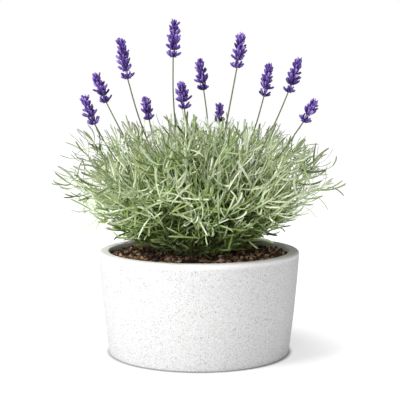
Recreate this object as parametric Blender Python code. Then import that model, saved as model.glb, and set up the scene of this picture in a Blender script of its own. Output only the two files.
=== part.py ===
"""Potted lavender: a round tapered planter with its soil, and a lavender plant that grows in it.

The plant is a woody crown, leafy shoots, and flower stems that each carry a spike of buds. Sizes are in
metres, +Z is up, and the origin is on the ground at the centre of the planter's base.
"""

import math
from dataclasses import dataclass

import bmesh
import bpy
import numpy as np
from mathutils import Vector

# Clearance between two pieces that touch on the real plant
FIT_GAP = 0.0003

# Planter
POT_HEIGHT = 0.128
RIM_RADIUS = 0.125
BASE_RADIUS = 0.1124
WALL_BULGE = 0.0012  # how far the wall swells outwards half-way up
WALL_THICKNESS = 0.013
FLOOR_THICKNESS = 0.012
RIM_OUTER_ROUND = 0.0045
RIM_INNER_ROUND = 0.003
BASE_BEVEL = 0.002
DRAIN_HOLE_RADIUS = 0.010
POT_SEGMENTS = 48
WALL_STEPS = 4
ROUND_STEPS = 3

# Soil
SOIL_BELOW_RIM = 0.007
SOIL_LUMP = 0.0013  # height of the lumps in its surface
LUMP_FADE = 0.012  # the lumps die away over this distance towards the wall and the crown
SOIL_SEGMENTS = 24
SOIL_RINGS = 5

# Woody crown, a low dome that stands partly in the soil
CROWN_RADIUS = 0.028
CROWN_RISE = 0.017
CROWN_SINK = 0.010
CROWN_FOOT_RADIUS = 0.021
CROWN_GROOVE = 0.05  # depth of the grooves between its old stems, as a share of the radius
CROWN_GROOVES = 8
CROWN_SEGMENTS = 32
CROWN_STEPS = 6
LOWEST_START = math.radians(14)  # nothing leaves the dome below this turn
START_TURN = 0.77  # how fast the starting place climbs the dome as the growth gets steeper

# Leafy shoots. Their leaf tips fill a rounded mound, whose heights are measured from the soil.
MOUND_HALF_WIDTH = 0.178
MOUND_TOP = 0.185
MOUND_WIDEST_HEIGHT = 0.094
MOUND_UNDERSIDE = 0.007
MOUND_SQUARENESS = 2.6
REACH_STEP = 0.0002
SHOOT_COUNT = 33
SHOOT_THICKNESS = 0.0024
SHOOT_TAPER = 0.3  # share of its thickness that a shoot loses towards its tip
LOWEST_SHOOT = math.radians(13)
STEEPEST_SHOOT = math.radians(80)
TIP_DROOP = math.radians(15)
SHOOT_STIFFNESS = 0.30  # how long a shoot keeps its first and last headings, as a share of its span
LEAF_LENGTH = 0.038
LEAF_WIDTH = 0.0034
LEAF_THICKNESS = 0.0012
LEAF_SPACING = 0.022  # between one pair of leaves and the next
LEAF_PAIRS = 5
LEAF_SPREAD = math.radians(42)
LEAST_SPREAD = math.radians(1)
LEAF_WIDEST = 0.40  # where a leaf is widest, as a share of its length
LEAF_BOW = 0.06  # how far a leaf bows outwards there, as a share of its length
TIP_LEAF_ADVANCE = 0.9  # how far the last pair reaches past the stem, as a share of a leaf's length
BARE_LENGTH = 0.040  # no leaves this close to the crown

# Flower stems: across, back and above the soil to the stem's top, sideways lean in degrees, spike length
FLOWER_STEM_THICKNESS = 0.0021
FLOWER_STEM_STEPS = 7
FLOWERS = (
    (-0.125, -0.040, 0.164, -25, 0.039),
    (-0.119, 0.055, 0.189, -26, 0.043),
    (-0.086, -0.025, 0.218, -13, 0.051),
    (-0.066, 0.095, 0.166, -11, 0.033),
    (-0.032, 0.010, 0.245, 2, 0.048),
    (-0.017, -0.070, 0.183, -6, 0.034),
    (0.006, 0.075, 0.205, -10, 0.043),
    (0.027, 0.110, 0.163, 2, 0.027),
    (0.045, -0.045, 0.231, 10, 0.043),
    (0.085, 0.085, 0.197, 14, 0.047),
    (0.111, 0.015, 0.202, 21, 0.047),
    (0.124, -0.050, 0.167, 32, 0.032),
)
LEAN_DISTANCE = 0.27  # a stem that stands this far back leans back by 45 degrees
FLOWER_START_STIFFNESS = 0.25
FLOWER_END_STIFFNESS = 0.45

# Flower spikes: whorls of buds, the lowest one set apart from the others
FEWEST_WHORLS = 4
WHORL_SPACING = 0.0068
SPIKE_RADIUS_AT_NO_LENGTH = 0.0052
SPIKE_RADIUS_PER_LENGTH = 0.05
SPIKE_CORE_RADIUS = 0.0010
SPIKE_SIDES = 6
SPIKE_TAPER = 0.45  # share of its width that the spike loses towards its tip
LOWEST_WHORL_SIZE = 0.88
WHORL_GAP = 0.5  # extra space above the lowest whorl, in whorl spacings

# How directions are shared out, and how much of the room up to a neighbour a shoot's leaves may fill
FLOWER_PUSH = 0.35  # a flower stem pushes a shoot away this much as strongly as another shoot does
SPREAD_ROUNDS = 240
SPREAD_STEP = 0.02
SHOOT_SHARE = 0.43
FLOWER_SHARE = 0.80
COURSE_SAMPLES = 25
SAMPLES_BEYOND = 8

MATERIALS = {  # colour, roughness
    "planter": ((0.86, 0.86, 0.85), 0.75),
    "soil": ((0.045, 0.028, 0.018), 0.95),
    "wood": ((0.22, 0.17, 0.11), 0.85),
    "leaf": ((0.30, 0.38, 0.20), 0.65),
    "stem": ((0.22, 0.28, 0.15), 0.65),
    "flower": ((0.10, 0.035, 0.30), 0.60),
}
SMOOTH_ANGLE = math.radians(35)

SOIL_LEVEL = POT_HEIGHT - SOIL_BELOW_RIM
CROWN_CENTRE = Vector((0, 0, SOIL_LEVEL))
MERGE_DISTANCE = 1e-6


def clear_scene():
    for obj in list(bpy.data.objects):
        bpy.data.objects.remove(obj, do_unlink=True)


def make_material(name):
    colour, roughness = MATERIALS[name]
    material = bpy.data.materials.new(name)
    material.use_nodes = True
    shader = material.node_tree.nodes["Principled BSDF"]
    shader.inputs["Base Color"].default_value = (*colour, 1)
    shader.inputs["Roughness"].default_value = roughness
    shader.inputs["Metallic"].default_value = 0
    return material


def add_object(name, bm, material, origin=Vector()):
    """Make a named object of a mesh whose points are measured from the origin given."""
    bmesh.ops.recalc_face_normals(bm, faces=bm.faces)
    mesh = bpy.data.meshes.new(name)
    bm.to_mesh(mesh)
    bm.free()
    mesh.shade_smooth()
    mesh.set_sharp_from_angle(angle=SMOOTH_ANGLE)
    mesh.materials.append(material)
    obj = bpy.data.objects.new(name, mesh)
    obj.location = origin
    bpy.context.scene.collection.objects.link(obj)
    return obj


def bridge(bm, lower, upper):
    """Join two rings of points by a band of four-sided faces."""
    after = list(range(1, len(lower))) + [0]
    return [bm.faces.new((lower[i], lower[j], upper[j], upper[i])) for i, j in enumerate(after)]


def close_to_point(bm, ring, place):
    """Close a ring of points with a cone of three-sided faces."""
    tip = bm.verts.new(place)
    for i in range(len(ring)):
        bm.faces.new((ring[i], ring[(i + 1) % len(ring)], tip))


# Turned shapes: an outline of (radius, height) points, spun about the planter's axis


def arc(centre_radius, centre_height, radius, start, end):
    """Points on a round corner of an outline, from one angle in degrees to another."""
    angles = [math.radians(angle) for angle in levels(start, end, ROUND_STEPS)]
    return [(centre_radius + radius * math.cos(a), centre_height + radius * math.sin(a)) for a in angles]


def levels(low, high, steps):
    return [low + (high - low) * i / steps for i in range(steps + 1)]


def turned(outline, segments, closed):
    """Spin an outline into a shape. An outline that isn't a closed loop starts and ends on the axis."""
    bm = bmesh.new()
    points = [bm.verts.new((radius, 0, height)) for radius, height in outline]
    edges = [bm.edges.new(pair) for pair in zip(points, points[1:])]
    if closed:
        edges.append(bm.edges.new((points[-1], points[0])))
    bmesh.ops.spin(
        bm,
        geom=points + edges,
        cent=(0, 0, 0),
        axis=(0, 0, 1),
        steps=segments,
        angle=math.tau,
        use_merge=True,
    )
    bmesh.ops.remove_doubles(bm, verts=bm.verts, dist=MERGE_DISTANCE)
    return bm


def outer_radius(height):
    """Radius of the planter's outer wall, which flares and swells gently."""
    up = height / POT_HEIGHT
    return BASE_RADIUS + (RIM_RADIUS - BASE_RADIUS) * up + 4 * WALL_BULGE * up * (1 - up)


def inner_radius(height):
    return outer_radius(height) - WALL_THICKNESS


def make_planter(material):
    """The planter, one shell with a rounded rim and a drain hole in its floor."""
    wall_top = POT_HEIGHT - RIM_OUTER_ROUND
    lip_top = POT_HEIGHT - RIM_INNER_ROUND
    outline = [(DRAIN_HOLE_RADIUS, 0), (outer_radius(0) - BASE_BEVEL, 0)]
    outline += [(outer_radius(z), z) for z in levels(BASE_BEVEL, wall_top, WALL_STEPS)[:-1]]
    outline += arc(outer_radius(wall_top) - RIM_OUTER_ROUND, wall_top, RIM_OUTER_ROUND, 0, 90)
    outline += arc(inner_radius(lip_top) + RIM_INNER_ROUND, lip_top, RIM_INNER_ROUND, 90, 180)
    outline += [(inner_radius(z), z) for z in levels(lip_top, FLOOR_THICKNESS, WALL_STEPS)[1:]]
    outline += [(DRAIN_HOLE_RADIUS, FLOOR_THICKNESS)]
    return add_object("planter_pot", turned(outline, POT_SEGMENTS, closed=True), material)


def lump_height(x, y):
    """Height of the soil's lumps, which die away at the wall and against the crown."""
    distance = math.hypot(x, y)
    edge = inner_radius(SOIL_LEVEL) - FIT_GAP
    fade = min(1, (edge - distance) / LUMP_FADE, (distance - CROWN_RADIUS) / LUMP_FADE)
    waves = math.sin(95 * x + 31 * y) + math.sin(130 * y - 47 * x + 1.3) + math.sin(171 * x + 150 * y + 0.6)
    return SOIL_LUMP * max(0, fade) * waves / 2


def make_soil(material):
    """The soil, which fills the planter and leaves a pocket for the crown's foot."""
    bottom = FLOOR_THICKNESS + FIT_GAP
    pocket_floor = SOIL_LEVEL - CROWN_SINK - FIT_GAP
    edge = inner_radius(SOIL_LEVEL) - FIT_GAP
    outline = [(0, bottom)]
    outline += [(inner_radius(z) - FIT_GAP, z) for z in levels(bottom, SOIL_LEVEL, WALL_STEPS)]
    outline += [(radius, SOIL_LEVEL) for radius in levels(edge, CROWN_RADIUS + FIT_GAP, SOIL_RINGS)[1:]]
    outline += [(CROWN_FOOT_RADIUS + FIT_GAP, pocket_floor), (0, pocket_floor)]
    bm = turned(outline, SOIL_SEGMENTS, closed=False)
    for vert in bm.verts:
        if vert.co.z > SOIL_LEVEL - MERGE_DISTANCE:
            vert.co.z += lump_height(vert.co.x, vert.co.y)
    return add_object("potting_soil", bm, material)


def crown_groove(azimuth):
    """Factor on the crown's radius that sinks the grooves between its old stems."""
    return 1 - CROWN_GROOVE * (1 - math.cos(CROWN_GROOVES * azimuth)) / 2


def make_crown(material):
    """The woody crown, a dome with grooves between the old stems that it is made of."""
    turns = [math.radians(turn) for turn in levels(90, 0, CROWN_STEPS)]
    outline = [(CROWN_RADIUS * math.cos(a), SOIL_LEVEL + CROWN_RISE * math.sin(a)) for a in turns]
    outline[0] = (0, SOIL_LEVEL + CROWN_RISE)
    outline += [(CROWN_FOOT_RADIUS, SOIL_LEVEL - CROWN_SINK), (0, SOIL_LEVEL - CROWN_SINK)]
    bm = turned(outline, CROWN_SEGMENTS, closed=False)
    for vert in bm.verts:
        groove = crown_groove(math.atan2(vert.co.y, vert.co.x))
        vert.co.x *= groove
        vert.co.y *= groove
    return add_object("woody_crown", bm, material)


# Courses: the curve that each shoot or flower stem follows, from the crown outwards


@dataclass
class Course:
    """A cubic curve through space, and the share of the room up to it that a neighbour's leaves may fill."""

    handles: tuple
    share: float

    def point(self, t):
        a, b, c, d = self.handles
        u = 1 - t
        return a * u**3 + b * (3 * t * u**2) + c * (3 * t**2 * u) + d * t**3

    def heading(self, t):
        a, b, c, d = self.handles
        u = 1 - t
        return ((b - a) * u**2 + (c - b) * (2 * t * u) + (d - c) * t**2).normalized()

    def frame(self, t):
        """Forward, sideways and upward directions of the stem."""
        forward = self.heading(t)
        start, end = self.handles[0], self.handles[3]
        side = Vector((0, 0, 1)).cross(Vector((end.x - start.x, end.y - start.y, 0)))
        side = (side - forward * side.dot(forward)).normalized()
        return forward, side, forward.cross(side)

    def samples(self, beyond):
        """Points along the curve, and on straight past its end."""
        inside = [self.point(t) for t in levels(0, 1, COURSE_SAMPLES - 1)]
        ahead = [self.handles[3] + self.heading(1) * step for step in levels(0, beyond, SAMPLES_BEYOND)[1:]]
        return np.array(inside + ahead)

    def length(self):
        points = self.samples(0)[:COURSE_SAMPLES]
        return float(np.linalg.norm(np.diff(points, axis=0), axis=1).sum())


def in_mound(point):
    above = point.z - SOIL_LEVEL - MOUND_WIDEST_HEIGHT
    half_height = MOUND_TOP - MOUND_WIDEST_HEIGHT if above > 0 else MOUND_WIDEST_HEIGHT - MOUND_UNDERSIDE
    across = math.hypot(point.x, point.y) / MOUND_HALF_WIDTH
    return across**MOUND_SQUARENESS + abs(above / half_height) ** MOUND_SQUARENESS < 1


def mound_reach(direction):
    """Distance from the crown's centre to where a direction leaves the mound, at least a short shoot's."""
    shortest = BARE_LENGTH + LEAF_LENGTH
    distance = 2 * MOUND_HALF_WIDTH
    while distance > shortest and not in_mound(CROWN_CENTRE + direction * distance):
        distance -= REACH_STEP
    return distance


def elevation_of(direction):
    return math.asin(max(-1, min(1, direction.z)))


def polar(azimuth, elevation):
    flat = math.cos(elevation)
    return Vector((math.cos(azimuth) * flat, math.sin(azimuth) * flat, math.sin(elevation)))


def crown_start(direction):
    """Where something that grows in a direction leaves the crown's dome, and the dome's normal there."""
    azimuth = math.atan2(direction.y, direction.x)
    turn = LOWEST_START + START_TURN * elevation_of(direction)
    normal = polar(azimuth, math.atan(math.tan(turn) * CROWN_RADIUS / CROWN_RISE))
    on_dome = polar(azimuth, 0) * CROWN_RADIUS * crown_groove(azimuth) * math.cos(turn)
    on_dome.z = CROWN_RISE * math.sin(turn)
    return CROWN_CENTRE + on_dome + normal * FIT_GAP, normal


def flower_course(row):
    """The curve of a flower stem up to the foot of its spike."""
    across, back, above, lean, _ = row
    top = CROWN_CENTRE + Vector((across, back, above))
    start, normal = crown_start((top - CROWN_CENTRE).normalized())
    heading = Vector((math.tan(math.radians(lean)), back / LEAN_DISTANCE, 1)).normalized()
    span = (top - start).length
    leaving = start + normal * FLOWER_START_STIFFNESS * span
    arriving = top - heading * FLOWER_END_STIFFNESS * span
    return Course((start, leaving, arriving, top), FLOWER_SHARE)


def shoot_course(direction):
    """The curve of a leafy shoot, which rises from the crown and arches over towards the mound's surface."""
    azimuth = math.atan2(direction.y, direction.x)
    start, normal = crown_start(direction)
    tip = CROWN_CENTRE + direction * (mound_reach(direction) - TIP_LEAF_ADVANCE * LEAF_LENGTH)
    heading = polar(azimuth, 1.1 * elevation_of(direction) - TIP_DROOP)
    pull = (tip - start).length * SHOOT_STIFFNESS
    return Course((start, start + normal * pull, tip - heading * pull, tip), SHOOT_SHARE)


def kept_between(places, low, high):
    """Unit directions with their heights kept between two limits."""
    places = places / np.linalg.norm(places, axis=1)[:, None]
    height = np.clip(places[:, 2], low, high)
    flat = np.sqrt(1 - height**2) / np.linalg.norm(places[:, :2], axis=1)
    return np.column_stack((places[:, :2] * flat[:, None], height))


def shared_directions(flower_directions):
    """Directions for the leafy shoots, pushed apart until they share the room round the flower stems.

    Four of them keep to the X and Y axes at the mound's widest height, and so set the plant's width.
    """
    widest = math.atan(MOUND_WIDEST_HEIGHT / MOUND_HALF_WIDTH)
    fixed = [tuple(direction) for direction in flower_directions]
    fixed += [tuple(polar(quarter * math.pi / 2, widest)) for quarter in range(4)]
    free_count = len(flower_directions) + SHOOT_COUNT - len(fixed)
    low, high = math.sin(LOWEST_SHOOT), math.sin(STEEPEST_SHOOT)
    golden = math.pi * (3 - math.sqrt(5))
    heights = levels(low, high, free_count)[1:]
    free = [tuple(polar(golden * i, math.asin(height))) for i, height in enumerate(heights)]
    places = np.array(fixed + free)
    push = np.array([FLOWER_PUSH] * len(flower_directions) + [1.0] * SHOOT_COUNT)
    for turn in range(SPREAD_ROUNDS):
        apart = places[:, None, :] - places[None, :, :]
        distance = np.linalg.norm(apart, axis=2) + np.eye(len(places))
        force = (apart * (push[None, :] / distance**4)[:, :, None]).sum(axis=1)
        step = SPREAD_STEP * (1 - turn / SPREAD_ROUNDS) / np.linalg.norm(force, axis=1).max()
        moved = kept_between(places + force * step, low, high)
        places[len(fixed) :] = moved[len(fixed) :]
    shoots = [Vector(place) for place in places[len(flower_directions) :]]
    return sorted(shoots, key=lambda shoot: (round(elevation_of(shoot) * 4), math.atan2(shoot.y, shoot.x)))


# Leafy shoots: a square stem with pairs of narrow leaves, each pair set across the one below


def square_ring(bm, centre, side, up, thickness):
    half = thickness / 2
    corners = ((-1, -1), (1, -1), (1, 1), (-1, 1))
    return [bm.verts.new(centre + side * half * across + up * half * above) for across, above in corners]


def grow_leaf(bm, base_ring, forward, outward, spread):
    """Draw one side of the stem out into a narrow pointed leaf."""
    base = sum((vert.co for vert in base_ring), Vector()) / len(base_ring)
    opening = outward * math.sin(spread) + forward * math.cos(spread)
    widest = base + (opening * LEAF_WIDEST + outward * LEAF_BOW) * LEAF_LENGTH
    half_width = (base_ring[1].co - base_ring[0].co).normalized() * LEAF_WIDTH / 2
    half_thickness = (forward * math.sin(spread) - outward * math.cos(spread)) * LEAF_THICKNESS / 2
    corners = ((-1, -1), (1, -1), (1, 1), (-1, 1))
    blade = [bm.verts.new(widest + half_width * across + half_thickness * above) for across, above in corners]
    bridge(bm, base_ring, blade)
    close_to_point(bm, blade, base + opening * LEAF_LENGTH)


def leaf_spread(course, neighbours, t):
    """How far leaves open from the stem: wide where there is room, and upright among close neighbours."""
    forward = course.heading(t)
    room = LEAF_LENGTH
    for advance in (0, LEAF_LENGTH / 2, LEAF_LENGTH):
        place = np.array(course.point(t) + forward * advance)
        for share, radii, points in neighbours:
            distance = np.linalg.norm(points - place, axis=1) - radii
            room = min(room, share * float(distance.min()))
    opening = math.asin(max(0, min(1, (room - LEAF_WIDTH / 2) / LEAF_LENGTH)))
    return max(LEAST_SPREAD, min(LEAF_SPREAD, opening))


def make_shoot(name, course, neighbours, material):
    """A leafy shoot. The stem's short segments carry the leaves, two on opposite sides."""
    length = course.length()
    pairs = min(LEAF_PAIRS, 1 + int((length - BARE_LENGTH) / LEAF_SPACING))
    origin = course.handles[0]
    segment = 1.5 * LEAF_THICKNESS
    bm = bmesh.new()

    def ring(distance, thickness):
        _, side, up = course.frame(distance / length)
        return square_ring(bm, course.point(distance / length) - origin, side, up, thickness)

    last = ring(0, SHOOT_THICKNESS)
    bm.faces.new(last)
    for pair in range(pairs):
        start = length - segment - LEAF_SPACING * (pairs - 1 - pair)
        thickness = SHOOT_THICKNESS * (1 - SHOOT_TAPER * pair / pairs)
        lower = ring(start, thickness)
        upper = ring(start + segment, thickness)
        bridge(bm, last, lower)
        forward, side, up = course.frame(start / length)
        spread = leaf_spread(course, neighbours, start / length)
        for face, outward in enumerate((-up, side, up, -side)):
            after = (face + 1) % 4
            patch = [lower[face], lower[after], upper[after], upper[face]]
            if face % 2 == pair % 2:
                grow_leaf(bm, patch, forward, outward, spread)
            else:
                bm.faces.new(patch)
        last = upper
    bm.faces.new(last[::-1])
    return add_object(name, bm, material, origin)


# Flower stems and spikes


def make_flower_stem(name, course, material):
    """A bare square stem from the crown to the foot of its spike."""
    origin = course.handles[0]
    bm = bmesh.new()
    last = None
    for t in levels(0, 1, FLOWER_STEM_STEPS):
        _, side, up = course.frame(t)
        ring = square_ring(bm, course.point(t) - origin, side, up, FLOWER_STEM_THICKNESS)
        if last:
            bridge(bm, last, ring)
        else:
            bm.faces.new(ring)
        last = ring
    bm.faces.new(last[::-1])
    return add_object(name, bm, material, origin)


def spike_radius(length):
    return SPIKE_RADIUS_AT_NO_LENGTH + SPIKE_RADIUS_PER_LENGTH * length


def spike_rings(length):
    """Rings of a spike as (height, radius, turn). Each whorl of buds opens upwards like a cup."""
    whorls = max(FEWEST_WHORLS, round(length / WHORL_SPACING))
    pitch = length / (whorls + WHORL_GAP + 0.1)
    rings = [(0, SPIKE_CORE_RADIUS, 0)]
    for whorl in range(whorls):
        foot = pitch * (whorl + 0.1 + (WHORL_GAP if whorl else 0))
        taper = 1 - SPIKE_TAPER * (whorl / whorls) ** 2
        size = spike_radius(length) * (taper if whorl else LOWEST_WHORL_SIZE)
        turn = math.pi / SPIKE_SIDES * (whorl % 2)
        waist = 0.55 * size
        rings += [
            (foot, waist if whorl > 1 else SPIKE_CORE_RADIUS, turn),
            (foot + 0.62 * pitch, size, turn),
            (foot + 0.9 * pitch, waist, turn),
        ]
        if whorl == 0:
            rings.append((foot + 1.05 * pitch, SPIKE_CORE_RADIUS, turn))
    return rings


def make_spike(name, course, length, material):
    """A flower spike, modelled upright and then turned to go on from its stem."""
    bm = bmesh.new()
    last = None
    for height, radius, turn in spike_rings(length):
        angles = [turn + math.tau * i / SPIKE_SIDES for i in range(SPIKE_SIDES)]
        ring = [bm.verts.new((radius * math.cos(a), radius * math.sin(a), height)) for a in angles]
        if last:
            bridge(bm, last, ring)
        else:
            bm.faces.new(ring)
        last = ring
    close_to_point(bm, last, (0, 0, length))
    heading = course.heading(1)
    spike = add_object(name, bm, material, course.handles[3] + heading * FIT_GAP)
    spike.rotation_mode = "QUATERNION"
    spike.rotation_quaternion = heading.to_track_quat("Z", "Y")
    return spike


def flower_room(course, length):
    """What leaves keep clear of: the points of a flower stem and of its spike, each with a radius."""
    points = course.samples(length)
    radii = np.full(len(points), FLOWER_STEM_THICKNESS)
    radii[COURSE_SAMPLES - 1 :] = spike_radius(length)
    return course.share, radii, points


def shoot_room(course):
    points = course.samples(LEAF_LENGTH)
    return course.share, np.zeros(len(points)), points


def main():
    clear_scene()
    materials = {name: make_material(name) for name in MATERIALS}
    make_planter(materials["planter"])
    make_soil(materials["soil"])
    make_crown(materials["wood"])

    flowers = [(flower_course(row), row[4]) for row in FLOWERS]
    directions = shared_directions([(course.handles[3] - CROWN_CENTRE).normalized() for course, _ in flowers])
    shoots = [shoot_course(direction) for direction in directions]
    taken = [flower_room(course, length) for course, length in flowers]
    taken += [shoot_room(course) for course in shoots]
    for i, course in enumerate(shoots):
        neighbours = [room for j, room in enumerate(taken) if j != i + len(flowers)]
        make_shoot(f"leafy_shoot_{i + 1:02d}", course, neighbours, materials["leaf"])
    for i, (course, length) in enumerate(flowers):
        make_flower_stem(f"flower_stem_{i + 1:02d}", course, materials["stem"])
        make_spike(f"flower_spike_{i + 1:02d}", course, length, materials["flower"])


main()
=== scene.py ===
"""The looks of a potted lavender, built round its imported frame.

The planter, the soil, the woody crown, the leafy shoots and the flower stems with their spikes each get a
finely shaped piece that stands for the plain solid of the frame, and a procedural finish.
"""

import logging
import math
import random
from collections.abc import Callable, Sequence
from dataclasses import dataclass, field
from enum import Enum
from typing import Any

import bpy
import numpy as np
from mathutils import Matrix, Vector


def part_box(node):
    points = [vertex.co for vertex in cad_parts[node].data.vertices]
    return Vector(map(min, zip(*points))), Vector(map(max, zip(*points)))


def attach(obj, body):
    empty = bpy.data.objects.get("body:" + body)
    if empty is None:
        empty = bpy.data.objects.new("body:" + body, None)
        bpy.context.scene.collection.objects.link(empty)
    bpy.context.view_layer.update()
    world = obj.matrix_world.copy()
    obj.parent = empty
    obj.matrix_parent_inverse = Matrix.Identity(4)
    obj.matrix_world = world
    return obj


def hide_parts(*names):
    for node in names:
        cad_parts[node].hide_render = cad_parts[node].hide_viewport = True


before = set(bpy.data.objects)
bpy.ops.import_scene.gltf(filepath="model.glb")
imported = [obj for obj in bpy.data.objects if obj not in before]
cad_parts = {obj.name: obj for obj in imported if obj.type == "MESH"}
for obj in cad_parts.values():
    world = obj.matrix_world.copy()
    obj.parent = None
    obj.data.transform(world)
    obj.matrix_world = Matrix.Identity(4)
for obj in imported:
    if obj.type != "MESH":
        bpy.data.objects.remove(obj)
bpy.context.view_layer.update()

Colour = tuple[float, float, float]  # linear red, green and blue
Place = tuple[float, float, float]  # metres

log = logging.getLogger("lavender")
BODY = "root"
UP = Vector((0, 0, 1))
GROWTH = "growth"  # the attribute that holds a point's place along a leaf, its tone, its age and its ridge

# The width at each share of the length, where 1 is the full width
LEAF_OUTLINE = (
    (0.08, 0.55), (0.24, 0.78), (0.46, 0.94), (0.68, 1.0), (0.86, 0.96), (0.95, 0.74), (0.99, 0.38)
)
BUD_OUTLINE = ((0.10, 0.50), (0.34, 0.78), (0.62, 1.0), (0.85, 0.96), (0.97, 0.60))


# Shader maths


class Sock:
    """A node's output that can be used in Python expressions."""

    def __init__(self, tree: bpy.types.NodeTree, socket: bpy.types.NodeSocket) -> None:
        """Keep the tree and the output."""
        self.tree = tree
        self.socket = socket

    def math(self, operation: str, *others: "Sock | float", clamp: bool = False) -> "Sock":
        """Add a Math node that works on this value.

        Args:
            operation: The Math node's operation.
            others: The further values it takes.
            clamp: Whether its result is kept between 0 and 1.

        Returns:
            The result.
        """
        inputs = dict(enumerate((self, *others)))
        return make_node(self.tree, "ShaderNodeMath", {"operation": operation, "use_clamp": clamp}, inputs)

    def __add__(self, other: "Sock | float") -> "Sock":
        """The sum."""
        return self.math("ADD", other)

    __radd__ = __add__

    def __mul__(self, other: "Sock | float") -> "Sock":
        """The product."""
        return self.math("MULTIPLY", other)

    __rmul__ = __mul__

    def __sub__(self, other: "Sock | float") -> "Sock":
        """The difference."""
        return self.math("SUBTRACT", other)

    def __rsub__(self, other: float) -> "Sock":
        """The difference, taken from a number."""
        return (self * -1.0) + other

    def __pow__(self, power: float) -> "Sock":
        """The power."""
        return self.math("POWER", power)

    def above(self, limit: float) -> "Sock":
        """1 where this value is over a limit, and 0 elsewhere."""
        return self.math("GREATER_THAN", limit)

    def ramp(self, low: float, high: float) -> "Sock":
        """A smooth step that climbs from 0 at one value to 1 at another, which may be the lower one.

        Args:
            low: The value that gives 0.
            high: The value that gives 1.

        Returns:
            The step.
        """
        settings = {"interpolation_type": "SMOOTHSTEP"}
        inputs = {"Value": self, "From Min": low, "From Max": high}
        return make_node(self.tree, "ShaderNodeMapRange", settings, inputs)


def make_node(
    tree: bpy.types.NodeTree, kind: str, settings: dict[str, Any], inputs: dict[Any, Any], output: Any = 0
) -> Sock:
    """Add a node.

    Args:
        tree: The node tree it goes into.
        kind: Its type.
        settings: Its properties, which are set first. A key "stops" holds a colour ramp's stops, as
            (place, colour) pairs.
        inputs: A value or a link for each socket, by name or number.
        output: The name or number of the output to return.

    Returns:
        The output asked for.
    """
    node = tree.nodes.new(kind)
    for key, value in settings.items():
        if key == "stops":
            set_stops(node.color_ramp, value)
        else:
            setattr(node, key, value)
    for key, value in inputs.items():
        if isinstance(value, Sock):
            tree.links.new(value.socket, node.inputs[key])
        else:
            node.inputs[key].default_value = value
    return Sock(tree, node.outputs[output])


def set_stops(ramp: bpy.types.ColorRamp, stops: Sequence[tuple[float, Sequence[float]]]) -> None:
    """Give a colour ramp its stops.

    Args:
        ramp: The colour ramp.
        stops: A place from 0 to 1 and a colour for each stop.
    """
    while len(ramp.elements) < len(stops):
        ramp.elements.new(1.0)
    for element, (place, colour) in zip(ramp.elements, stops):
        element.position = place
        element.color = (*colour, 1.0)


class Finish:
    """A procedural material: what is the same all over is set on the shader, and the rest is linked to it."""

    def __init__(self, name: str, roughness: float, **constants: Any) -> None:
        """Start a material.

        Args:
            name: The material's name.
            roughness: Its roughness, until one is linked.
            constants: The shader's further inputs, with underscores for the spaces in their names.
        """
        self.material = bpy.data.materials.new(name)
        self.material.use_nodes = True
        self.tree = self.material.node_tree
        self.shader = self.tree.nodes["Principled BSDF"]
        self.shader.inputs["Roughness"].default_value = roughness
        for key, value in constants.items():
            self.shader.inputs[key.replace("_", " ")].default_value = value

    def node(self, kind: str, settings: dict[str, Any], inputs: dict[Any, Any], output: Any = 0) -> Sock:
        """Add a node to this finish. See make_node."""
        return make_node(self.tree, kind, settings, inputs, output)

    def place(self) -> Sock:
        """The place on the object, in metres."""
        return self.node("ShaderNodeTexCoord", {}, {}, "Object")

    def growth(self) -> tuple[Sock, Sock, Sock, Sock]:
        """How far along, the tone, the age and the ridge of the point that is shaded.

        Returns:
            The four values.
        """
        node = self.tree.nodes.new("ShaderNodeAttribute")
        node.attribute_name = GROWTH
        split = self.tree.nodes.new("ShaderNodeSeparateColor")
        self.tree.links.new(node.outputs["Color"], split.inputs[0])
        channels = tuple(Sock(self.tree, split.outputs[i]) for i in range(3))
        return (*channels, Sock(self.tree, node.outputs["Alpha"]))

    def noise(self, scale: float, detail: float = 2.0, place: Sock | None = None) -> Sock:
        """Smooth noise, from 0 to 1."""
        inputs = {"Vector": place or self.place(), "Scale": scale, "Detail": detail}
        return self.node("ShaderNodeTexNoise", {}, inputs, 0)

    def cells(self, scale: float) -> tuple[Sock, Sock]:
        """The distance to the nearest of many scattered points, and a random number for each of them.

        Args:
            scale: How many points there are in a metre.

        Returns:
            The distance and the random number.
        """
        inputs = {"Vector": self.place(), "Scale": scale}
        distance = self.node("ShaderNodeTexVoronoi", {}, inputs, "Distance")
        colour = Sock(self.tree, distance.socket.node.outputs["Color"])
        return distance, self.node("ShaderNodeSeparateColor", {}, {0: colour}, 0)

    def colours(self, value: Sock, stops: Sequence[tuple[float, Sequence[float]]]) -> Sock:
        """A colour ramp."""
        return self.node("ShaderNodeValToRGB", {"stops": stops}, {0: value}, "Color")

    def blend(self, share: Sock | float, low: Any, high: Any, how: str = "MIX") -> Sock:
        """Mix two colours.

        Args:
            share: How much of the second one shows.
            low: The first colour, a link or three numbers.
            high: The second colour.
            how: The Mix node's blend type.

        Returns:
            The mixed colour.
        """
        ends = [end if isinstance(end, Sock) else (*end, 1.0) for end in (low, high)]
        inputs = {0: share, 6: ends[0], 7: ends[1]}
        return self.node("ShaderNodeMix", {"data_type": "RGBA", "blend_type": how}, inputs, 2)

    def colour(self, value: Sock) -> None:
        """Link the base colour."""
        self.tree.links.new(value.socket, self.shader.inputs["Base Color"])

    def roughness(self, value: Sock) -> None:
        """Link the roughness."""
        self.tree.links.new(value.socket, self.shader.inputs["Roughness"])

    def bump(self, height: Sock, distance: float, strength: float = 1.0) -> None:
        """Raise the surface by a height map, whose 1 stands for a distance in metres.

        Args:
            height: The height map.
            distance: The height of 1, in metres.
            strength: How much of the effect shows.
        """
        inputs = {"Height": height, "Distance": distance, "Strength": strength}
        normal = self.node("ShaderNodeBump", {}, inputs)
        self.tree.links.new(normal.socket, self.shader.inputs["Normal"])


# Finishes


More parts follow.
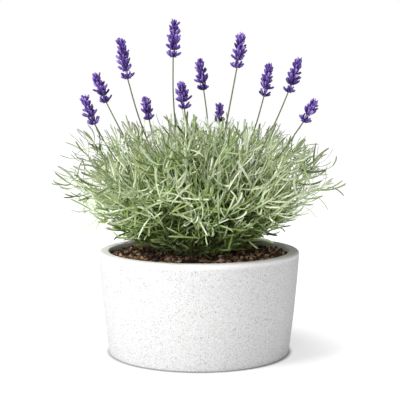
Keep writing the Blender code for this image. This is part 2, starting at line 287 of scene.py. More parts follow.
@dataclass(frozen=True)
class PlanterFinish:
    """White cast stone with fine grey specks, matte and faintly pitted. The top of the rim is paler and
    faintly pink: partly its smoother, less speckled band and partly a painted highlight against the foliage's
    shade and green bounce.
    """

    white: Colour = (0.755, 0.755, 0.753)
    rim_painted_highlight: Colour = (0.900, 0.880, 0.885)
    fine_grey: Colour = (0.42, 0.42, 0.42)
    coarse_grey: Colour = (0.24, 0.24, 0.24)
    dust_scale: float = 1000.0
    fine_scale: float = 860.0
    coarse_scale: float = 520.0
    fine_share: float = 0.72
    coarse_share: float = 0.17
    cloud_scale: float = 55.0
    grain_scale: float = 1400.0
    grain_depth: float = 0.00035
    rim_highlight_start: float = 0.1200
    rim_highlight_full: float = 0.1265

    def make(self) -> bpy.types.Material:
        """Build the material.

        Returns:
            The material.
        """
        finish = Finish("speckled_planter", 0.75, Specular_IOR_Level=0.35)
        fine_distance, fine_pick = finish.cells(self.fine_scale)
        coarse_distance, coarse_pick = finish.cells(self.coarse_scale)
        fine = fine_distance.ramp(0.52, 0.26) * fine_pick.above(1 - self.fine_share)
        coarse = coarse_distance.ramp(0.36, 0.24) * coarse_pick.above(1 - self.coarse_share)
        cloud = finish.noise(self.cloud_scale, 3.0)
        dust = finish.noise(self.dust_scale, 2.0)
        base = finish.blend(cloud.ramp(0.35, 0.75) * 0.5, self.white, [c * 0.955 for c in self.white])
        dusted = finish.blend(dust.ramp(0.36, 0.64), [c * 0.80 for c in self.white], base)
        specked = finish.blend(fine * 0.85, dusted, self.fine_grey)
        wall = finish.blend(coarse * 0.90, specked, self.coarse_grey)
        height = finish.node("ShaderNodeSeparateXYZ", {}, {0: finish.place()}, 2)
        # Painted highlight: the rim's top is blended towards a paler, faintly pink white, which also hides
        # most of the specks there.
        rim = height.ramp(self.rim_highlight_start, self.rim_highlight_full)
        finish.colour(finish.blend(rim * 0.85, wall, self.rim_painted_highlight))
        grain = finish.noise(self.grain_scale, 3.0)
        finish.roughness(0.62 + grain * 0.28)
        finish.bump(grain - coarse * 0.5, self.grain_depth, 0.6)
        return finish.material


@dataclass(frozen=True)
class SoilFinish:
    """Moist bark, coir and peat. The tone of each crumb runs from black to reddish brown."""

    black: Colour = (0.008, 0.005, 0.003)
    dark: Colour = (0.070, 0.038, 0.019)
    brown: Colour = (0.255, 0.140, 0.074)
    red: Colour = (0.560, 0.320, 0.200)
    pale: Colour = (0.760, 0.570, 0.400)
    grain_scale: float = 900.0
    grain_depth: float = 0.0006

    def make(self) -> bpy.types.Material:
        """Build the material.

        Returns:
            The material.
        """
        finish = Finish("potting_mix", 0.85, Specular_IOR_Level=0.4)
        _, tone, _, _ = finish.growth()
        grain = finish.noise(self.grain_scale, 4.0)
        stops = [(0.0, self.black), (0.35, self.dark), (0.62, self.brown), (0.86, self.red), (1.0, self.pale)]
        shaded = finish.colours(tone + (grain - 0.5) * 0.45, stops)
        finish.colour(shaded)
        finish.roughness(0.70 + grain * 0.25)
        finish.bump(grain, self.grain_depth, 0.8)
        return finish.material


@dataclass(frozen=True)
class BarkFinish:
    """Grey-brown bark that flakes along the old stems."""

    deep: Colour = (0.045, 0.030, 0.020)
    brown: Colour = (0.17, 0.12, 0.075)
    grey: Colour = (0.34, 0.29, 0.21)
    flake_scale: float = 420.0
    flake_depth: float = 0.0008

    def make(self) -> bpy.types.Material:
        """Build the material.

        Returns:
            The material.
        """
        finish = Finish("old_wood", 0.85, Specular_IOR_Level=0.3)
        _, tone, _, _ = finish.growth()
        stretch = {"Vector": finish.place(), "Scale": (1.0, 1.0, 0.25)}
        long_place = finish.node("ShaderNodeMapping", {}, stretch)
        flakes = finish.noise(self.flake_scale, 4.0, long_place)
        stops = [(0.25, self.deep), (0.5, self.brown), (0.8, self.grey)]
        finish.colour(finish.colours(flakes * 0.7 + tone * 0.3, stops))
        finish.roughness(0.7 + flakes * 0.25)
        finish.bump(flakes, self.flake_depth, 0.9)
        return finish.material


@dataclass(frozen=True)
class LeafFinish:
    """Downy sage-green leaves, greyer towards the tip and straw-coloured when aged, with painted shade:
    margins darker than the midrib, darker leaves near the mound's heart and a darker, greyer-tipped outer
    shell.
    """

    deep: Colour = (0.030, 0.066, 0.002)
    green: Colour = (0.225, 0.325, 0.070)
    sage: Colour = (0.500, 0.610, 0.325)
    pale: Colour = (0.850, 0.910, 0.720)
    tip: Colour = (0.190, 0.205, 0.150)
    straw: Colour = (0.42, 0.36, 0.19)
    heart: Colour = (0.0, 0.0, 0.135)
    down_scale: float = 700.0
    heart_shade_zone: tuple[float, float] = (0.060, 0.150)
    outer_shade_zone: tuple[float, float] = (0.140, 0.200)

    def make(self) -> bpy.types.Material:
        """Build the material.

        Returns:
            The material.
        """
        finish = Finish("sage_leaf", 0.62, Specular_IOR_Level=0.15, Sheen_Weight=0.08, Sheen_Roughness=0.5)
        along, tone, age, ridge = finish.growth()
        down = finish.noise(self.down_scale, 2.0)
        measure = {"operation": "DISTANCE"}
        away = finish.node("ShaderNodeVectorMath", measure, {0: finish.place(), 1: self.heart}, "Value")
        # Painted shade: young here is not age but how far a point lies from the mound's heart; leaves near
        # the heart are darkened.
        young = away.ramp(*self.heart_shade_zone)
        # Painted shade: the outer shell of leaves is darkened and its tips greyed.
        outer = away.ramp(*self.outer_shade_zone)
        stops = [(0.0, self.deep), (0.36, self.green), (0.68, self.sage), (1.0, self.pale)]
        # Painted shade: the ridge term keeps the midrib light and darkens the margins, outlining each leaf.
        lit = tone + (down - 0.5) * 0.16 + ridge * 0.30 - 0.12 + (young - 1.0) * 0.56 - outer * 0.20
        blade = finish.colours(lit, stops)
        # Grey tips: the small fixed share is the leaves' own greyer tips, the share that grows on the outer
        # shell is painted shade.
        tipped = finish.blend((0.06 + outer * 0.60) * along.ramp(0.10, 0.90), blade, self.tip)
        aged = finish.blend(age, tipped, self.straw)
        finish.colour(aged)
        finish.roughness(0.52 + down * 0.22)
        return finish.material


@dataclass(frozen=True)
class StemFinish:
    """Grey-green flower stems, a little browner low down."""

    green: Colour = (0.098, 0.118, 0.052)
    pale: Colour = (0.21, 0.235, 0.130)
    low: Colour = (0.16, 0.16, 0.08)
    down_scale: float = 600.0

    def make(self) -> bpy.types.Material:
        """Build the material.

        Returns:
            The material.
        """
        finish = Finish("flower_stalk", 0.6, Specular_IOR_Level=0.3)
        along, _, _, ridge = finish.growth()
        down = finish.noise(self.down_scale, 2.0)
        skin = finish.blend(ridge * 0.6 + (down - 0.4) * 0.5, self.green, self.pale)
        finish.colour(finish.blend(along.ramp(0.45, 0.0) * 0.6, skin, self.low))
        finish.roughness(0.5 + down * 0.25)
        return finish.material


@dataclass(frozen=True)
class BudFinish:
    """Downy violet buds: indigo in the whorl, violet on the ribs and lavender at the mouth."""

    indigo: Colour = (0.013, 0.003, 0.056)
    violet: Colour = (0.082, 0.030, 0.270)
    lavender: Colour = (0.500, 0.330, 0.860)
    green: Colour = (0.16, 0.17, 0.12)
    down_scale: float = 1100.0

    def make(self) -> bpy.types.Material:
        """Build the material.

        Returns:
            The material.
        """
        finish = Finish("violet_bud", 0.6, Specular_IOR_Level=0.3, Sheen_Weight=0.2, Sheen_Roughness=0.4)
        along, tone, age, ridge = finish.growth()
        down = finish.noise(self.down_scale, 2.0)
        stops = [(0.22, self.indigo), (0.55, self.violet), (0.94, self.lavender)]
        petal = finish.colours(along * 0.34 + tone * 0.44 + ridge * 0.30 - 0.03 + (down - 0.5) * 0.3, stops)
        finish.colour(finish.blend(age, petal, self.green))
        finish.roughness(0.5 + down * 0.25)
        return finish.material


# Modelling


class Bench:
    """Edit-mode work on one new ring of points, as by hand: it is drawn out, widened and closed."""

    def __init__(self, name: str, sides: int, radius: float, height: float, filled: bool) -> None:
        """Add the first ring.

        Args:
            name: The object's name.
            sides: The number of points in the ring.
            radius: The ring's radius.
            height: The ring's height.
            filled: Whether the ring gets a face.
        """
        bpy.ops.object.select_all(action="DESELECT")
        fill = "NGON" if filled else "NOTHING"
        bpy.ops.mesh.primitive_circle_add(
            vertices=sides, radius=radius, fill_type=fill, location=(0, 0, height)
        )
        self.obj = bpy.context.object
        self.obj.name = name
        bpy.ops.object.transform_apply(location=True, rotation=True, scale=True)
        bpy.ops.object.mode_set(mode="EDIT")
        bpy.ops.mesh.select_all(action="SELECT")
        self.size = [radius, radius]
        self.height = height

    def draw_to(self, height: float, width: float, depth: float | None = None) -> None:
        """Extrude the ring that is selected to a new height and size.

        Args:
            height: The new height.
            width: The new radius along X.
            depth: The new radius along Y. It is the width when left out.
        """
        rise = {"value": (0, 0, height - self.height)}
        bpy.ops.mesh.extrude_region_move(TRANSFORM_OT_translate=rise)
        depth = width if depth is None else depth
        scale = (width / self.size[0], depth / self.size[1], 1)
        bpy.ops.transform.resize(value=scale, center_override=(0, 0, height))
        self.size = [width, depth]
        self.height = height

    def pinch(self, height: float) -> None:
        """Draw the ring to a point at a new height."""
        self.draw_to(height, self.size[0], self.size[1])
        bpy.ops.mesh.merge(type="CENTER")

    def done(self) -> bpy.types.Object:
        """Merge doubles, turn the faces outwards and leave edit mode.

        Returns:
            The object.
        """
        bpy.ops.mesh.select_all(action="SELECT")
        bpy.ops.mesh.remove_doubles(threshold=1e-6)
        bpy.ops.mesh.normals_make_consistent(inside=False)
        bpy.ops.object.mode_set(mode="OBJECT")
        return self.obj


@dataclass(frozen=True)
class Pattern:
    """A shape that is modelled once and copied many times. It is one unit long, along Z."""

    points: np.ndarray
    faces: list[tuple[int, ...]]
    ridge: np.ndarray

    @classmethod
    def take(cls, obj: bpy.types.Object, ridge: Callable[[Vector], float]) -> "Pattern":
        """Keep a modelled object's shape, and remove the object.

        Args:
            obj: The object.
            ridge: Says how far up a ridge a point lies, from 0 to 1.

        Returns:
            The pattern.
        """
        points = np.array([vert.co for vert in obj.data.vertices])
        faces = [tuple(face.vertices) for face in obj.data.polygons]
        ridges = np.array([ridge(vert.co) for vert in obj.data.vertices])
        mesh = obj.data
        bpy.data.objects.remove(obj)
        bpy.data.meshes.remove(mesh)
        return cls(points, faces, ridges)


def arc_place(points: np.ndarray, length: float, bend: float, twist: float) -> np.ndarray:
    """Stretch a pattern to a length, twist it about its length, and bend it towards +Y along an arc.

    Args:
        points: The pattern's points.
        length: The length it gets.
        bend: The angle the arc turns through, in radians.
        twist: The angle the tip is turned by, in radians.

    Returns:
        The new points.
    """
    along = points[:, 2]
    turn = twist * along
    x = points[:, 0] * np.cos(turn) - points[:, 1] * np.sin(turn)
    y = points[:, 0] * np.sin(turn) + points[:, 1] * np.cos(turn)
    bend = bend if abs(bend) > 1e-3 else 1e-3
    angle = bend * along
    centre_y = length / bend * (1 - np.cos(angle))
    centre_z = length / bend * np.sin(angle)
    return np.column_stack((x, centre_y + y * np.cos(angle), centre_z - y * np.sin(angle)))


class Heap:
    """Copies of patterns and tubes that together make one piece."""

    def __init__(self) -> None:
        """Start empty."""
        self.points: list[np.ndarray] = []
        self.faces: list[tuple[int, ...]] = []
        self.growth: list[np.ndarray] = []
        self.count = 0

    def add(self, points: np.ndarray, faces: Sequence[tuple[int, ...]], growth: np.ndarray) -> None:
        """Lay a shape on the heap.

        Args:
            points: Its points, in metres, in the object's frame.
            faces: Its faces.
            growth: Four numbers for each point: along, tone, age and ridge.
        """
        self.points.append(points)
        self.growth.append(growth)
        start = self.count
        self.faces.extend(tuple(index + start for index in face) for face in faces)
        self.count += len(points)

    def add_copy(
        self, pattern: Pattern, points: np.ndarray, base: Vector, axes: Matrix, tone: float, age: float
    ) -> None:
        """Lay a shaped copy of a pattern on the heap.

        Args:
            pattern: The pattern.
            points: The pattern's points, after they were stretched and bent.
            base: Where its foot goes.
            axes: Its X, Y and Z directions, as columns.
            tone: Its tone.
            age: Its age.
        """
        placed = points @ np.array(axes).T + np.array(base)
        along = pattern.points[:, 2]
        growth = np.column_stack((along, np.full_like(along, tone), np.full_like(along, age), pattern.ridge))
        self.add(placed, pattern.faces, growth)

    def add_tube(
        self,
        centres: Sequence[Vector],
        radii: Sequence[float],
        sides: int,
        tone: float,
        ages: Sequence[float],
    ) -> None:
        """Lay a closed tube on the heap, with corners that count as ridges on every other side.

        Args:
            centres: The centre of each ring.
            radii: The radius of each ring.
            sides: The number of points in a ring.
            tone: Its tone.
            ages: The age of each ring.
        """
        points, growth = [], []
        across = UP
        for i, centre in enumerate(centres):
            ahead = centres[min(i + 1, len(centres) - 1)] - centres[max(i - 1, 0)]
            axes = axes_along(ahead, across)
            across = axes.col[1].copy()
            for side in range(sides):
                angle = math.tau * side / sides
                out = sideways(axes, angle)
                points.append(centre + out * radii[i])
                growth.append((i / (len(centres) - 1), tone, ages[i], side % 2))
        faces: list[tuple[int, ...]] = [tuple(reversed(range(sides)))]
        for i in range(len(centres) - 1):
            for side in range(sides):
                low, after = i * sides + side, i * sides + (side + 1) % sides
                faces.append((low, after, after + sides, low + sides))
        faces.append(tuple(range((len(centres) - 1) * sides, len(centres) * sides)))
        self.add(np.array(points), faces, np.array(growth, float))

    def piece(self, name: str, material: bpy.types.Material, angle: float) -> bpy.types.Object:
        """Turn the heap into one object.

        Args:
            name: The piece's name.
            material: Its finish.
            angle: Edges sharper than this many degrees stay sharp.

        Returns:
            The object, at the origin.
        """
        mesh = bpy.data.meshes.new(name)
        mesh.from_pydata(np.vstack(self.points).tolist(), [], self.faces)
        store_growth(mesh, np.vstack(self.growth))
        mesh.materials.append(material)
        mesh.shade_smooth()
        mesh.set_sharp_from_angle(angle=math.radians(angle))
        obj = bpy.data.objects.new(name, mesh)
        bpy.context.scene.collection.objects.link(obj)
        return obj


def axes_along(forward: Vector, towards: Vector) -> Matrix:
    """Directions for a copy: Z forward, and Y as near as can be to another direction.

    Args:
        forward: Where Z points.
        towards: Where Y points, as near as can be.

    Returns:
        The three directions, as columns.
    """
    z = forward.normalized()
    y = towards - z * towards.dot(z)
    if y.length < 1e-6:
        y = Vector((1, 0, 0)) - z * z.x
    y.normalize()
    x = y.cross(z)
    return Matrix((x, y, z)).transposed()


def sideways(axes: Matrix, angle: float) -> Vector:
    """The direction square to the Z of some axes, at an angle round it."""
    return axes.col[0] * math.cos(angle) + axes.col[1] * math.sin(angle)


def scatter(draw: random.Random, spread: float) -> Vector:
    """A random offset in three directions."""
    return Vector([draw.gauss(0, spread) for _ in range(3)])


def draw_in(points: np.ndarray, limit: float) -> None:
    """Draw the points that lie past a distance from the Z axis back to it.

    Args:
        points: The points, which are changed.
        limit: The distance.
    """
    distance = np.hypot(points[:, 0], points[:, 1])
    over = distance > limit
    points[over, :2] *= (limit / distance[over])[:, None]


def store_growth(mesh: bpy.types.Mesh, growth: np.ndarray) -> None:
    """Store along, tone, age and ridge on each point of a mesh."""
    layer = mesh.attributes.new(GROWTH, "FLOAT_COLOR", "POINT")
    layer.data.foreach_set("color", growth.astype(np.float32).ravel())


def declare(piece: bpy.types.Object, slot: str, *nodes: str) -> None:
    """Make a piece ride on the object's body and stand for frame nodes, which are hidden.

    Args:
        piece: The piece.
        slot: Not used.
        nodes: The nodes it stands for.
    """
    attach(piece, BODY)
    if nodes:
        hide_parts(*nodes)
    stands_for = ", ".join(nodes) or "nothing"
    log.info("%s: %d faces, stands for %s", piece.name, len(piece.data.polygons), stands_for)


def node_points(name: str) -> np.ndarray:
    """The separate points of a frame node."""
    points = np.array([vert.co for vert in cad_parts[name].data.vertices])
    return np.unique(np.round(points, 6), axis=0)


def node_names(prefix: str) -> list[str]:
    """The frame nodes whose names start with a word, in order."""
    return sorted(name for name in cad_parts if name.startswith(prefix))


# The planter and what fills it


@dataclass
class Planter:
    """The planter, turned in fine rings from its drain hole round the rim and back."""

    sides: int = 192
    wall: float = 0.013
    floor: float = 0.012
    drain_radius: float = 0.010
    bulge: float = 0.0012
    base_radius: float = 0.1124
    rim_radius: float = 0.125
    base_round: float = 0.0022
    rim_outer_round: float = 0.0034
    rim_inner_round: float = 0.0022
    wall_rings: int = 14
    round_rings: int = 7
    inner_rings: int = 8
    floor_corner: float = 0.004
    floor_cut: float = 0.0012
    height: float = field(init=False)

    def __post_init__(self) -> None:
        """Take the height from the frame."""
        self.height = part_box("planter_pot")[1].z

    def outer(self, height: float) -> float:
        """Radius of the outer wall at a height."""
        up = height / self.height
        return self.base_radius + (self.rim_radius - self.base_radius) * up + 4 * self.bulge * up * (1 - up)

    def corner(self, radius: float, height: float, size: float, start: float) -> list[tuple[float, float]]:
        """A quarter round from an angle in degrees, as (radius, height) points."""
        turns = [math.radians(start + 90 * i / self.round_rings) for i in range(self.round_rings + 1)]
        return [(radius + size * math.cos(turn), height + size * math.sin(turn)) for turn in turns]

    def outline(self) -> list[tuple[float, float]]:
        """The planter's outline after the foot of the drain hole, outside first.

        Returns:
            A (radius, height) point for each ring.
        """
        shoulder = self.height - self.rim_outer_round
        lip = self.height - self.rim_inner_round
        foot = self.outer(self.base_round)
        points = self.corner(foot - self.base_round, self.base_round, self.base_round, -90)
        rise = (shoulder - self.base_round) / self.wall_rings
        heights = [self.base_round + rise * (i + 1) for i in range(self.wall_rings - 1)]
        points += [(self.outer(z), z) for z in heights]
        points += self.corner(self.outer(shoulder) - self.rim_outer_round, shoulder, self.rim_outer_round, 0)
        inner = self.outer(lip) - self.wall
        points += self.corner(inner + self.rim_inner_round, lip, self.rim_inner_round, 90)
        drop = self.floor + self.floor_corner - lip
        heights = [lip + drop * (i + 1) / self.inner_rings for i in range(self.inner_rings)]
        points += [(self.outer(z) - self.wall, z) for z in heights]
        corner = self.outer(self.floor) - self.wall
        points.append((corner - self.floor_cut, self.floor + self.floor_cut))
        points.append((corner - self.floor_corner, self.floor))
        return points + [(self.drain_radius, self.floor)]

    def build(self, material: bpy.types.Material) -> None:
        """Turn the planter and dress it.

        Args:
            material: Its finish.
        """
        bench = Bench("planter_shell", self.sides, self.drain_radius, 0.0, filled=False)
        for radius, height in self.outline():
            bench.draw_to(height, radius)
        bench.draw_to(0.0, self.drain_radius)
        piece = bench.done()
        piece.data.materials.append(material)
        piece.data.shade_smooth()
        piece.data.set_sharp_from_angle(angle=math.radians(50))
        declare(piece, "planter", "planter_pot")


@dataclass
class SoilBed:
    """The soil: a lumpy bed, and the loose bark chips, crumbs and fibres that lie on it."""

    planter: Planter
    sides: int = 128
    rings: int = 34
    gap: float = 0.0004
    lump: float = 0.0016
    sunk: float = 0.001
    bank: float = 0.0018
    bank_width: float = 0.2
    heap_height: float = 0.0035
    heap_radius: float = 0.060
    bed_tone: float = 0.30
    chip_count: int = 2500
    chip_kinds: int = 5
    chip_bevel: float = 0.22
    chip_shift: float = 0.13
    chip_margin: float = 0.0012
    chip_smallest: float = 0.0018
    chip_range: float = 0.0052
    chip_tone: float = 0.43
    chip_tone_spread: float = 0.34
    fibre_count: int = 70
    fibre_margin: float = 0.010
    fibre_radius: float = 0.00028
    level: float = field(init=False)

    def __post_init__(self) -> None:
        """Take the soil's level from the frame."""
        top = node_points("potting_soil")
        edge = np.hypot(top[:, 0], top[:, 1]) > self.planter.base_radius - 0.005
        self.level = float(top[edge][:, 2].max())

    def edge(self, height: float) -> float:
        """Radius of the soil where it meets the planter's wall."""
        return self.planter.outer(height) - self.planter.wall - self.gap

    def height_at(self, x: float, y: float) -> float:
        """Height of the bed's lumpy surface, which is banked a little against the wall.

        Args:
            x: The place along X.
            y: The place along Y.

        Returns:
            The height.
        """
        waves = math.sin(160 * x + 40 * y) + math.sin(210 * y - 75 * x + 1.3)
        waves += math.sin(290 * x + 250 * y + 0.6)
        fine = math.sin(620 * x - 510 * y) * math.sin(480 * x + 700 * y + 2.0)
        distance = math.hypot(x, y)
        near_wall = max(0.0, distance / self.edge(self.level) - (1 - self.bank_width))
        bank = self.bank * near_wall / self.bank_width
        heap = self.heap_height * max(0.0, 1 - distance / self.heap_radius)
        return self.level - self.sunk + self.lump * (waves / 3 + 0.5 * fine) + bank + heap

    def bed(self, material: bpy.types.Material) -> None:
        """Make the bed, a closed body whose top is drawn in rings and then made lumpy.

        Args:
            material: Its finish.
        """
        bottom = self.planter.floor + self.gap
        bench = Bench("soil_bed", self.sides, self.edge(bottom), bottom, filled=True)
        for i in range(1, 7):
            height = bottom + (self.level - self.sunk - bottom) * i / 6
            bench.draw_to(height, self.edge(height))
        top_edge = self.edge(self.level)
        for i in range(1, self.rings):
            bench.draw_to(self.level - self.sunk, top_edge * (1 - i / self.rings))
        bench.pinch(self.level - self.sunk)
        piece = bench.done()
        for vert in piece.data.vertices:
            if vert.co.z > self.level - 1.5 * self.sunk:
                vert.co.z = self.height_at(vert.co.x, vert.co.y)
        growth = (0.0, self.bed_tone, 0.0, 0.0)
        store_growth(piece.data, np.tile(growth, (len(piece.data.vertices), 1)))
        piece.data.materials.append(material)
        piece.data.shade_smooth()
        declare(piece, "soil", "potting_soil")

    def chip_patterns(self, draw: random.Random) -> list[Pattern]:
        """Model a few rough chips: a cut block that is bevelled, with its corners pushed about.

        Args:
            draw: The source of their variety.

        Returns:
            The chips.
        """
        patterns = []
        for _ in range(self.chip_kinds):
            bpy.ops.object.select_all(action="DESELECT")
            bpy.ops.mesh.primitive_cube_add(size=1.0, location=(0, 0, 0.5))
            bpy.ops.object.transform_apply(location=True, rotation=True, scale=True)
            obj = bpy.context.object
            bpy.ops.object.mode_set(mode="EDIT")
            bpy.ops.mesh.select_all(action="SELECT")
            bpy.ops.mesh.bevel(offset=self.chip_bevel, segments=1, affect="EDGES")
            bpy.ops.object.mode_set(mode="OBJECT")
            for vert in obj.data.vertices:
                vert.co += Vector([draw.uniform(-self.chip_shift, self.chip_shift) for _ in range(3)])
            patterns.append(Pattern.take(obj, lambda place: 0.0))
        return patterns

    def chips(self, material: bpy.types.Material) -> None:
        """Scatter the chips and fibres.

        Args:
            material: Its finish.
        """
        draw = random.Random(11)
        patterns = self.chip_patterns(draw)
        heap = Heap()
        for _ in range(self.chip_count):
            distance = math.sqrt(draw.uniform(0.02, 1.0)) * (self.edge(self.level) - self.chip_margin)
            around = draw.uniform(0, math.tau)
            x, y = distance * math.cos(around), distance * math.sin(around)
            size = self.chip_smallest + self.chip_range * draw.random() ** 2.2
            shape = Vector((size * draw.uniform(0.5, 1.0), size * draw.uniform(0.35, 0.8), size))
            lean = Vector((draw.gauss(0, 1), draw.gauss(0, 1), draw.gauss(0, 0.6)))
            axes = axes_along(lean, Vector((draw.gauss(0, 1), draw.gauss(0, 1), 1)))
            pattern = draw.choice(patterns)
            points = (pattern.points - (0, 0, 0.5)) * np.array(shape)
            base = Vector((x, y, self.height_at(x, y) + 0.10 * size))
            tone = min(1.0, max(0.0, draw.gauss(self.chip_tone, self.chip_tone_spread)))
            heap.add_copy(pattern, points, base, axes, tone, 0.0)
        for _ in range(self.fibre_count):
            self.fibre(heap, draw)
        self.keep_inside(heap)
        declare(heap.piece("soil_chips", material, 25), "soil")

    def fibre(self, heap: Heap, draw: random.Random) -> None:
        """Lay one curved coir fibre on the soil.

        Args:
            heap: Where it goes.
            draw: The source of its variety.
        """
        distance = math.sqrt(draw.uniform(0.15, 0.95)) * (self.edge(self.level) - self.fibre_margin)
        around, heading = draw.uniform(0, math.tau), draw.uniform(0, math.tau)
        x, y = distance * math.cos(around), distance * math.sin(around)
        bend, length = draw.uniform(-1.6, 1.6), draw.uniform(0.006, 0.014)
        centres, steps = [], 6
        for i in range(steps + 1):
            arch = 0.0014 + 0.0008 * math.sin(math.pi * i / steps)
            centres.append(Vector((x, y, self.height_at(x, y) + arch)))
            turn = heading + bend * i / steps
            x += math.cos(turn) * length / steps
            y += math.sin(turn) * length / steps
        radii = [self.fibre_radius] * (steps + 1)
        heap.add_tube(centres, radii, 4, draw.uniform(0.7, 1.0), [0.0] * (steps + 1))

    def keep_inside(self, heap: Heap) -> None:
        """Draw in the points that would stand in the planter's wall.

        Args:
            heap: The chips and fibres.
        """
        for points in heap.points:
            draw_in(points, self.edge(self.level) - self.gap)


# Courses and growth


@dataclass(frozen=True)
class Course:
    """A cubic curve that a stem follows."""

    handles: tuple[Vector, Vector, Vector, Vector]

    def point(self, t: float) -> Vector:
        """The place at a share of the way.

        Args:
            t: The share of the way, from 0 to 1.

        Returns:
            The place.
        """
        a, b, c, d = self.handles
        u = 1 - t
        return a * u**3 + b * (3 * t * u**2) + c * (3 * t**2 * u) + d * t**3

    def heading(self, t: float) -> Vector:
        """The direction at a share of the way.

        Args:
            t: The share of the way, from 0 to 1.

        Returns:
            The direction, of length 1.
        """
        a, b, c, d = self.handles
        u = 1 - t
        return ((b - a) * u**2 + (c - b) * (2 * t * u) + (d - c) * t**2).normalized()

    def length(self) -> float:
        """The curve's length."""
        points = [self.point(i / 20) for i in range(21)]
        return sum((after - before).length for before, after in zip(points, points[1:]))


@dataclass
class Mound:
    """The rounded shape that the tips of the leaves fill, round the crown's centre."""

    upper_squareness: float = 2.5
    lower_squareness: float = 1.5
    underside: float = 0.119
    widest: float = 0.222
    top_margin: float = 0.018
    offset: float = 0.004
    lean: float = 0.24
    floor_start: float = 0.040
    floor_slope: float = 0.32
    floor_tilt: float = 0.12
    floor_lift: float = 0.008
    side_margin: float = 0.009
    centre_depth: float = 0.017
    farthest: float = 0.36
    nearest: float = 0.070
    centre: Vector = field(init=False)
    half_width: float = field(init=False)
    top: float = field(init=False)

    def __post_init__(self) -> None:
        """Take the width, the height and the centre from the frame."""
        boxes = [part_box(name) for name in node_names("leafy_shoot")]
        sides = [abs(corner[axis]) for box in boxes for corner in box for axis in (0, 1)]
        self.half_width = max(sides) - self.side_margin
        self.top = max(high.z for _, high in boxes) - self.top_margin
        self.centre = Vector((0, 0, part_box("woody_crown")[1].z - self.centre_depth))

    def holds(self, point: Vector) -> bool:
        """Whether a point is inside the mound.

        Args:
            point: The point.

        Returns:
            True inside.
        """
        above = point.z - self.widest
        half_height = self.top - self.widest if above > 0 else self.widest - self.underside
        squareness = self.upper_squareness if above > 0 else self.lower_squareness
        x = point.x + self.offset + self.lean * max(0.0, above)
        across = math.hypot(x, point.y) / self.half_width
        return across**squareness + abs(above / half_height) ** squareness < 1

    def floor_at(self, point: Vector) -> float:
        """Height that leaves keep above, which rises away from the crown.

        Args:
            point: A point, whose height doesn't matter.

        Returns:
            The height.
        """
        away = max(0.0, math.hypot(point.x, point.y) - self.floor_start)
        tilt = self.floor_tilt * max(0.0, point.x)
        return self.centre.z + self.floor_lift + self.floor_slope * away + tilt

    def reach(self, direction: Vector) -> float:
        """Distance from the crown's centre to the mound's surface, along a direction.

        Args:
            direction: The direction, of length 1.

        Returns:
            The distance.
        """
        distance = self.farthest
        while distance > self.nearest and not self.holds(self.centre + direction * distance):
            distance -= 0.001
        return distance


class Habit(Enum):
    """How a leaf grows on its shoot: its shortest and its longest share of the longest leaf."""

    FULL = (0.62, 1.0)
    AXIL = (0.25, 0.55)
    TIP = (0.42, 0.80)


@dataclass
class LeafMaker:
    """Narrow leaves, modelled once and copied with their own length, bend and tone."""

    width: float = 0.0025
    depth: float = 0.0009
    longest: float = 0.045
    hanging_share: float = 0.02
    roll: float = 0.40
    twist: float = 0.7
    least_bend: float = 0.6
    full_bend: float = 2.3
    small_bend: float = 1.3
    inward_share: float = 0.80
    outward_bend: tuple[float, float] = (-1.6, -0.3)
    full_breadth: tuple[float, float] = (0.85, 1.12)
    small_breadth: tuple[float, float] = (0.62, 0.85)
    aged_share: float = 0.03
    tone_spread: float = 0.24
    soil_margin: tuple[float, float] = (-0.009, 0.010)
    mound: Mound = field(default_factory=Mound)
    pattern: Pattern = field(init=False)

    def __post_init__(self) -> None:
        """Model the leaf that is copied."""
        bench = Bench("leaf_pattern", 4, 0.5, 0.0, filled=True)
        for height, width in LEAF_OUTLINE:
            bench.draw_to(height, 0.5 * width, 0.5 * (0.55 + 0.45 * width))
        bench.pinch(1.0)
        leaf = bench.done()
        for vert in leaf.data.vertices:
            vert.co.x *= self.width * (0.45 if vert.co.z < 0.01 else 1.0)
            vert.co.y *= self.depth * (0.35 if vert.co.y > 0 else 1.0)
        self.pattern = Pattern.take(leaf, lambda place: 1.0 if abs(place.x) < 1e-5 else 0.0)

    def grow(
        self,
        heap: Heap,
        draw: random.Random,
        base: Vector,
        opening: Vector,
        inner: Vector,
        habit: Habit,
        tone: float,
    ) -> None:
        """Add one leaf.

        Args:
            heap: Where it goes.
            draw: The source of its variety.
            base: Its foot, on the stem.
            opening: The direction it opens in.
            inner: The direction of the side that faces the stem.
            habit: How it grows.
            tone: Its tone before its own variety.
        """
        length = self.longest * draw.uniform(*habit.value)
        full = habit is Habit.FULL
        bends = (self.least_bend, self.full_bend if full else self.small_bend)
        bend = draw.uniform(*(bends if draw.random() < self.inward_share else self.outward_bend))
        opening = self.kept_up(base, opening.normalized(), length, draw)
        broad = draw.uniform(*(self.full_breadth if full else self.small_breadth))
        points = self.pattern.points * (broad, 1.0, 1.0)
        shaped = arc_place(points, length, bend, draw.gauss(0, self.twist))
        start = opening + inner * (-0.30 * bend)
        axes = axes_along(start, inner + scatter(draw, self.roll))
        age = 0.0 if draw.random() > self.aged_share else draw.uniform(0.2, 0.7)
        heap.add_copy(self.pattern, shaped, base, axes, tone + draw.gauss(0, self.tone_spread), age)

    def kept_up(self, base: Vector, opening: Vector, length: float, draw: random.Random) -> Vector:
        """Turn a leaf up until its tip stays off the soil, apart from a few that hang.

        Args:
            base: Its foot.
            opening: The direction it opens in, of length 1.
            length: Its length.
            draw: The source of chance.

        Returns:
            The direction it gets.
        """
        if draw.random() < self.hanging_share:
            return opening
        margin = draw.uniform(*self.soil_margin)
        for _ in range(4):
            tip = base + opening * length
            lack = self.mound.floor_at(tip) - tip.z + margin
            if lack <= 0:
                break
            opening = (opening + UP * (lack / length * 1.2)).normalized()
        return opening


